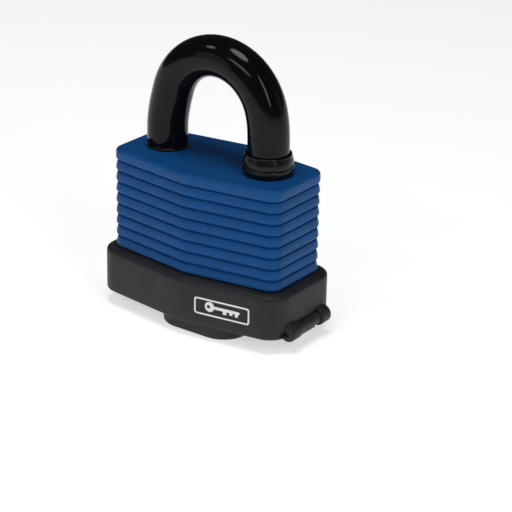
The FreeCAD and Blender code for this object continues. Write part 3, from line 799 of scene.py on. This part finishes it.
def make_sleeve(s, mat):
    line = loop_line(s)
    curve = bpy.data.curves.new("loop", "CURVE")
    curve.dimensions = "3D"
    spline = curve.splines.new("POLY")
    spline.points.add(len(line) - 1)
    for point, at in zip(spline.points, line):
        point.co = (*at, 1.0)
    values = {"Radius": s.sleeve_r, "Sides": 64, "Material": mat}
    tube = run_tree(link("sleeve_skin", curve), sweep_tree(), values)
    bm = bmesh.new()
    bm.from_mesh(tube.data)
    open_edges = [e for e in bm.edges if e.is_boundary]
    for side in (-1, 1):
        edges = [e for e in open_edges if e.verts[0].co.x * side > 0]
        turn_in(bm, edges, side * LEG_X, s)
    tidy(bm)
    old = tube.data
    tube.data = bpy.data.meshes.new("sleeve_skin")
    bm.to_mesh(tube.data)
    bm.free()
    bpy.data.meshes.remove(old)
    return tube


def turn_in(bm, edges, x, s):
    """Rounds the sleeve's end and takes it up inside, to a floor against the steel."""
    edge = SLEEVE_END_EDGE
    steps = []
    for k in range(1, 4):
        a = k / 3 * math.pi / 2
        steps.append((s.sleeve_r - edge * (1 - math.cos(a)), -edge * math.sin(a)))
    inner = s.core_r + 0.05 * MM
    steps += [(inner, -edge), (inner, SLEEVE_END_DEPTH)]
    for r, down in steps:
        made = bmesh.ops.extrude_edge_only(bm, edges=edges)["geom"]
        edges = [g for g in made if isinstance(g, bmesh.types.BMEdge)]
        for v in {v for e in edges for v in e.verts}:
            flat = Vector((v.co.x - x, v.co.y))
            flat = flat.normalized() * r
            v.co = Vector((x + flat.x, flat.y, SLEEVE_FOOT + edge + down))
    bmesh.ops.contextual_create(bm, geom=edges)


def wall_frame(s, x, offset):
    """Place on the front's flat at x, its along-wall direction and its outward one."""
    tilt = cover_tilt(s)
    out = Vector((math.sin(tilt), -math.cos(tilt), 0))
    along = Vector((math.cos(tilt), math.sin(tilt), 0))
    spot = out * (s.half_depth * math.cos(tilt) + offset)
    return spot + along * ((x - spot.x) / along.x), along, out


def raised_shape(name, outer, holes, thick, place):
    """Flat shape of the given outline and holes, raised from the wall."""
    spot, along, out = place
    bm = bmesh.new()
    rings = {}
    for level in (-0.05 * MM, thick):
        rings[level] = [
            [bm.verts.new(spot + along * u + Z * v + out * level) for u, v in ring]
            for ring in [outer] + holes
        ]
        fill(bm, rings[level], out if level > 0 else -out)
    low, high = rings.values()
    for a, b in zip(low, high):
        skin(bm, [a, b])
    tidy(bm, 1e-7)
    return to_object(bm, name)


KEY_BOW_R = 1.5 * MM
KEY_HALF_BLADE = 0.42 * MM
KEY_TIP = 9.6 * MM
KEY_EYE_R = 0.55 * MM
KEY_PLACE = (-3.8 * MM, 0.3 * MM)
KEY_EYE_SHIFT = 0.35 * MM


def key_outline():
    """A plain key lying on its side: round bow, straight blade and three teeth."""
    r, half = KEY_BOW_R, KEY_HALF_BLADE
    start = math.asin(half / r)
    ring = []
    for k in range(25):
        a = start + (math.tau - 2 * start) * k / 24
        ring.append((r * math.cos(a), r * math.sin(a)))
    teeth = [(4.2, 1.35), (5.3, 1.35), (5.3, 0.42), (6.3, 0.42), (6.3, 1.1), (7.2, 1.1)]
    teeth += [(7.2, 0.42), (8.0, 0.42), (8.0, 1.25), (8.9, 1.25), (8.9, 0.42)]
    ring.append((4.2 * MM, -half))
    ring += [(u * MM, -v * MM) for u, v in teeth]
    ring += [(KEY_TIP - half, -half), (KEY_TIP, 0.0), (KEY_TIP - half, half)]
    return ring


def make_badge(s):
    centre_x = (BADGE_BOX[0].x + BADGE_BOX[1].x) / 2
    z = (BADGE_BOX[0].z + BADGE_BOX[1].z) / 2
    half_u = (BADGE_BOX[1].x - BADGE_BOX[0].x) / 2 / math.cos(cover_tilt(s))
    half_v = (BADGE_BOX[1].z - BADGE_BOX[0].z) / 2
    spot, along, out = wall_frame(s, centre_x, s.overhang)
    place = (spot + Z * z, along, out)
    line = s.badge_line
    outer = [(x, y) for x, y, _, _ in rounded_rect(0, 0, half_u, half_v, 0.8 * MM, 8)]
    inner = rounded_rect(0, 0, half_u - line, half_v - line, 0.45 * MM, 8)
    outer = dedupe(outer)
    inner = dedupe([(x, y) for x, y, _, _ in inner])
    rim = raised_shape("badge_frame", outer, [inner], s.badge_thick, place)
    shift, rise = KEY_PLACE
    key = [(u + shift, v + rise) for u, v in key_outline()]
    eye = [
        (shift - KEY_EYE_SHIFT + KEY_EYE_R * math.cos(k * math.tau / 20),
         rise + KEY_EYE_R * math.sin(k * math.tau / 20))
        for k in range(20)
    ]
    mark = raised_shape("badge_key", key, [eye], s.badge_thick, place)
    return rim, mark


def dedupe(ring):
    kept = []
    for p in ring:
        if not kept or math.dist(p, kept[-1]) > 1e-7:
            kept.append(p)
    return kept if math.dist(kept[0], kept[-1]) > 1e-7 else kept[:-1]


def toe_section(s):
    """Collar's section: swollen low down, a crease, and a thin lip standing at the top."""
    r = s.sleeve_r + SEAL_GAP
    z, h = TOP_Z, TOE_BOX[1].z - TOP_Z
    outer = [(0.45, 0.0), (0.78, 0.04), (0.98, 0.12), (1.05, 0.22), (1.05, 0.32), (1.0, 0.385)]
    outer += [(0.9, 0.405), (0.84, 0.42), (0.9, 0.435), (0.97, 0.46), (0.97, 0.56), (0.88, 0.68)]
    outer += [(0.7, 0.8), (0.54, 0.88), (0.46, 0.93), (0.42, 0.97), (0.34, 0.995), (0.22, 1.0)]
    section = [(r + a * MM, z + b * h) for a, b in outer]
    return section + [(r + 0.06 * MM, z + 0.975 * h), (r, z + 0.93 * h), (r, z)]


def heel_section(s):
    r = s.core_r + SEAL_GAP
    out = s.sleeve_r + 0.15 * MM
    h = HEEL_BOX[1].z - TOP_Z
    section = [(out, 0.0), (out, 0.55 * h), (out - 0.08 * MM, 0.8 * h), (out - 0.3 * MM, h)]
    section += [(r, h), (r, 0.0)]
    return [(a, TOP_Z + b) for a, b in section]


def heel_rim_section(s):
    """Thin bead moulded on the cover round the heel ring."""
    r = s.sleeve_r + 0.17 * MM
    return [
        (r + BEAD_WIDTH * (0.5 - 0.5 * math.cos(a)), TOP_Z - 0.05 * MM + BEAD_RISE * math.sin(a))
        for a in [math.pi * k / 8 for k in range(9)]
    ]


def smooth_section(section, rounds=1):
    """Cuts the corners of a closed section so that it turns smoothly."""
    for _ in range(rounds):
        made = []
        for i, (r, z) in enumerate(section):
            r2, z2 = section[(i + 1) % len(section)]
            made += [(0.8 * r + 0.2 * r2, 0.8 * z + 0.2 * z2), (0.2 * r + 0.8 * r2, 0.2 * z + 0.8 * z2)]
        section = made
    return section


# ---- operators ----------------------------------------------------------------


class MakePiece(bpy.types.Operator):
    """Shared start of the operators that make a piece of the padlock"""

    bl_options = {"REGISTER", "UNDO"}

    def execute(self, context):
        self.make(context, context.scene.padlock_sizes)
        return {"FINISHED"}


class PADLOCK_OT_cover(MakePiece):
    """Ribbed blue cover"""

    bl_idname = "padlock.cover"
    bl_label = "Cover"

    def make(self, context, s):
        mat = finish_of(context, "cover_blue")
        finish_piece(make_cover(s, mat), "case", mat, ["body_cover"], 38)


class PADLOCK_OT_base(MakePiece):
    """Charcoal base with the hinge's lugs"""

    bl_idname = "padlock.base"
    bl_label = "Base"

    def make(self, context, s):
        mat = finish_of(context, "base_charcoal")
        finish_piece(make_base(s), "case", mat, ["base_cap"], 30)


class PADLOCK_OT_flap(MakePiece):
    """Keyway flap and its knuckle"""

    bl_idname = "padlock.flap"
    bl_label = "Keyway flap"

    def make(self, context, s):
        mat = finish_of(context, "flap_charcoal")
        finish_piece(make_flap(s), "flap", mat, ["keyway_flap"], 30)


class PADLOCK_OT_sleeve(MakePiece):
    """Glossy sleeve over the shackle"""

    bl_idname = "padlock.sleeve"
    bl_label = "Shackle sleeve"

    def make(self, context, s):
        mat = finish_of(context, "sleeve_black")
        finish_piece(make_sleeve(s, mat), "shackle", mat, ["shackle_sleeve"], 40)


class PADLOCK_OT_seals(MakePiece):
    """Toe collar, heel ring and the cover's bead round it"""

    bl_idname = "padlock.seals"
    bl_label = "Seals"

    def make(self, context, s):
        rubber = finish_of(context, "seal_rubber")
        blue = finish_of(context, "cover_blue")
        toe = lathe("toe_collar", smooth_section(toe_section(s), 2), LEG_X)
        finish_piece(toe, "case", rubber, ["toe_seal"], 60)
        heel = lathe("heel_ring", smooth_section(heel_section(s)), -LEG_X)
        finish_piece(heel, "case", rubber, ["heel_seal"], 60)
        rim = lathe("heel_bead", heel_rim_section(s), -LEG_X)
        finish_piece(rim, "case", blue, (), 60)


class PADLOCK_OT_badge(MakePiece):
    """Printed frame and key sign on the front"""

    bl_idname = "padlock.badge"
    bl_label = "Badge"

    def make(self, context, s):
        mat = finish_of(context, "badge_white")
        rim, mark = make_badge(s)
        finish_piece(rim, "case", mat, ["badge"], 40)
        finish_piece(mark, "case", mat, (), 40)


class PADLOCK_OT_metal(MakePiece):
    """Finishes of the carried-over CAD parts"""

    bl_idname = "padlock.metal"
    bl_label = "Metalwork"

    def make(self, context, s):
        looks = finishes(context.scene.padlock_colours)
        for entry in frame["record"]["subparts"]:
            node = frame["nodes"][entry["node"]]
            mat = looks[entry["material_slot"]]
            if not node.material_slots:
                node.data.materials.append(mat)
            for held in node.material_slots:
                held.material = mat


FLOOR_R = 30.0
FLOOR_THICK = 0.02
FLOOR_GLOW = 0.58
WORLD_COLOUR = (0.9, 0.95, 1.0, 1)
WORLD_STRENGTH = 0.05
LAMP_AIM = Vector((0, 0, 0.04))
CAMERA_PLACE = (0.30604, -0.41164, 0.23650)
CAMERA_AZIMUTH, CAMERA_ELEVATION, CAMERA_ROLL = 35.349, 23.094, 1.234
CAMERA_LENS, CAMERA_SENSOR = 137.52, 36.0
LIGHTS = (
    # name, azimuth, elevation, distance, (width, height), watts
    ("light_front", -32.0, 14.0, 0.9, (0.4, 0.4), 0.2),
    ("light_right", 122.0, 14.0, 0.9, (0.4, 0.4), 0.1),
    ("light_high", 65.0, 32.0, 0.9, (0.12, 0.66), 1.1),
    ("light_arch", 2.0, 40.0, 0.9, (0.5, 0.14), 0.75),
    ("light_edge", -54.0, 48.0, 0.9, (0.16, 0.16), 0.35),
    ("light_top", 20.0, 84.0, 0.8, (0.35, 0.35), 2.2),
)


def direction(azimuth, elevation):
    a, e = math.radians(azimuth), math.radians(elevation)
    return Vector((math.sin(a) * math.cos(e), -math.cos(a) * math.cos(e), math.sin(e)))


def floor_finish(colour):
    """One plain pale tone all over, lit a little from within like a light table."""
    mat = bpy.data.materials.new("pale_floor")
    mat.use_nodes = True
    shader = mat.node_tree.nodes["Principled BSDF"]
    shader.inputs["Base Color"].default_value = (*colour, 1)
    shader.inputs["Roughness"].default_value = 1.0
    shader.inputs["Specular IOR Level"].default_value = 0.0
    shader.inputs["Emission Color"].default_value = (1, 1, 1, 1)
    shader.inputs["Emission Strength"].default_value = FLOOR_GLOW
    return mat


class PADLOCK_OT_stage(bpy.types.Operator):
    """Pale floor, soft studio light and the camera"""

    bl_idname = "padlock.stage"
    bl_label = "Stage"

    def execute(self, context):
        scene = context.scene
        scene.view_settings.view_transform = "Standard"
        self.add_floor(scene)
        self.add_world(scene)
        for name, azimuth, elevation, distance, size, watts in LIGHTS:
            lamp = bpy.data.lights.new(name, "AREA")
            lamp.shape = "ELLIPSE"
            lamp.size, lamp.size_y = size
            lamp.energy = watts
            light = bpy.data.objects.new(name, lamp)
            scene.collection.objects.link(light)
            back = direction(azimuth, elevation)
            light.location = LAMP_AIM + back * distance
            light.rotation_mode = "QUATERNION"
            light.rotation_quaternion = back.to_track_quat("Z", "Y")
        self.add_camera(scene)
        return {"FINISHED"}

    def add_floor(self, scene):
        bm = bmesh.new()
        rings = [circle(bm, r, 0, 0, z, 96) for r, z in ((FLOOR_R, -FLOOR_THICK), (FLOOR_R, 0.0))]
        skin(bm, rings)
        bm.faces.new(rings[1])
        bm.faces.new(list(reversed(rings[0])))
        floor = to_object(bm, "floor")
        floor.data.materials.append(floor_finish(scene.padlock_colours.floor))

    def add_world(self, scene):
        world = bpy.data.worlds.new("studio")
        world.use_nodes = True
        air = world.node_tree.nodes["Background"]
        air.inputs["Color"].default_value = WORLD_COLOUR
        air.inputs["Strength"].default_value = WORLD_STRENGTH
        scene.world = world

    def add_camera(self, scene):
        lens = bpy.data.cameras.new("camera")
        lens.sensor_width = CAMERA_SENSOR
        lens.lens = CAMERA_LENS
        camera = bpy.data.objects.new("camera", lens)
        scene.collection.objects.link(camera)
        camera.location = CAMERA_PLACE
        camera.rotation_mode = "QUATERNION"
        aim = (-direction(CAMERA_AZIMUTH, CAMERA_ELEVATION)).to_track_quat("-Z", "Y")
        camera.rotation_quaternion = aim @ Quaternion(Z, math.radians(CAMERA_ROLL))
        scene.camera = camera


PIECES = (
    PADLOCK_OT_cover, PADLOCK_OT_base, PADLOCK_OT_flap, PADLOCK_OT_sleeve,
    PADLOCK_OT_seals, PADLOCK_OT_badge, PADLOCK_OT_metal, PADLOCK_OT_stage,
)


class PADLOCK_PT_panel(bpy.types.Panel):
    """The padlock's pieces in the order they are made"""

    bl_label = "Padlock"
    bl_idname = "PADLOCK_PT_panel"
    bl_space_type = "VIEW_3D"
    bl_region_type = "UI"
    bl_category = "Padlock"

    def draw(self, context):
        for piece in PIECES:
            self.layout.operator(piece.bl_idname)
        for group in (context.scene.padlock_sizes, context.scene.padlock_colours):
            box = self.layout.box()
            for key in group.bl_rna.properties.keys():
                if key not in ("name", "rna_type"):
                    box.prop(group, key)


CLASSES = (PadlockSizes, PadlockColours, *PIECES, PADLOCK_PT_panel)


def register():
    for cls in CLASSES:
        bpy.utils.register_class(cls)
    bpy.types.Scene.padlock_sizes = PointerProperty(type=PadlockSizes)
    bpy.types.Scene.padlock_colours = PointerProperty(type=PadlockColours)


def unregister():
    del bpy.types.Scene.padlock_colours
    del bpy.types.Scene.padlock_sizes
    for cls in reversed(CLASSES):
        bpy.utils.unregister_class(cls)


def main():
    register()
    for piece in PIECES:
        group, name = piece.bl_idname.split(".")
        getattr(getattr(bpy.ops, group), name)()


if __name__ == "__main__":
    main()
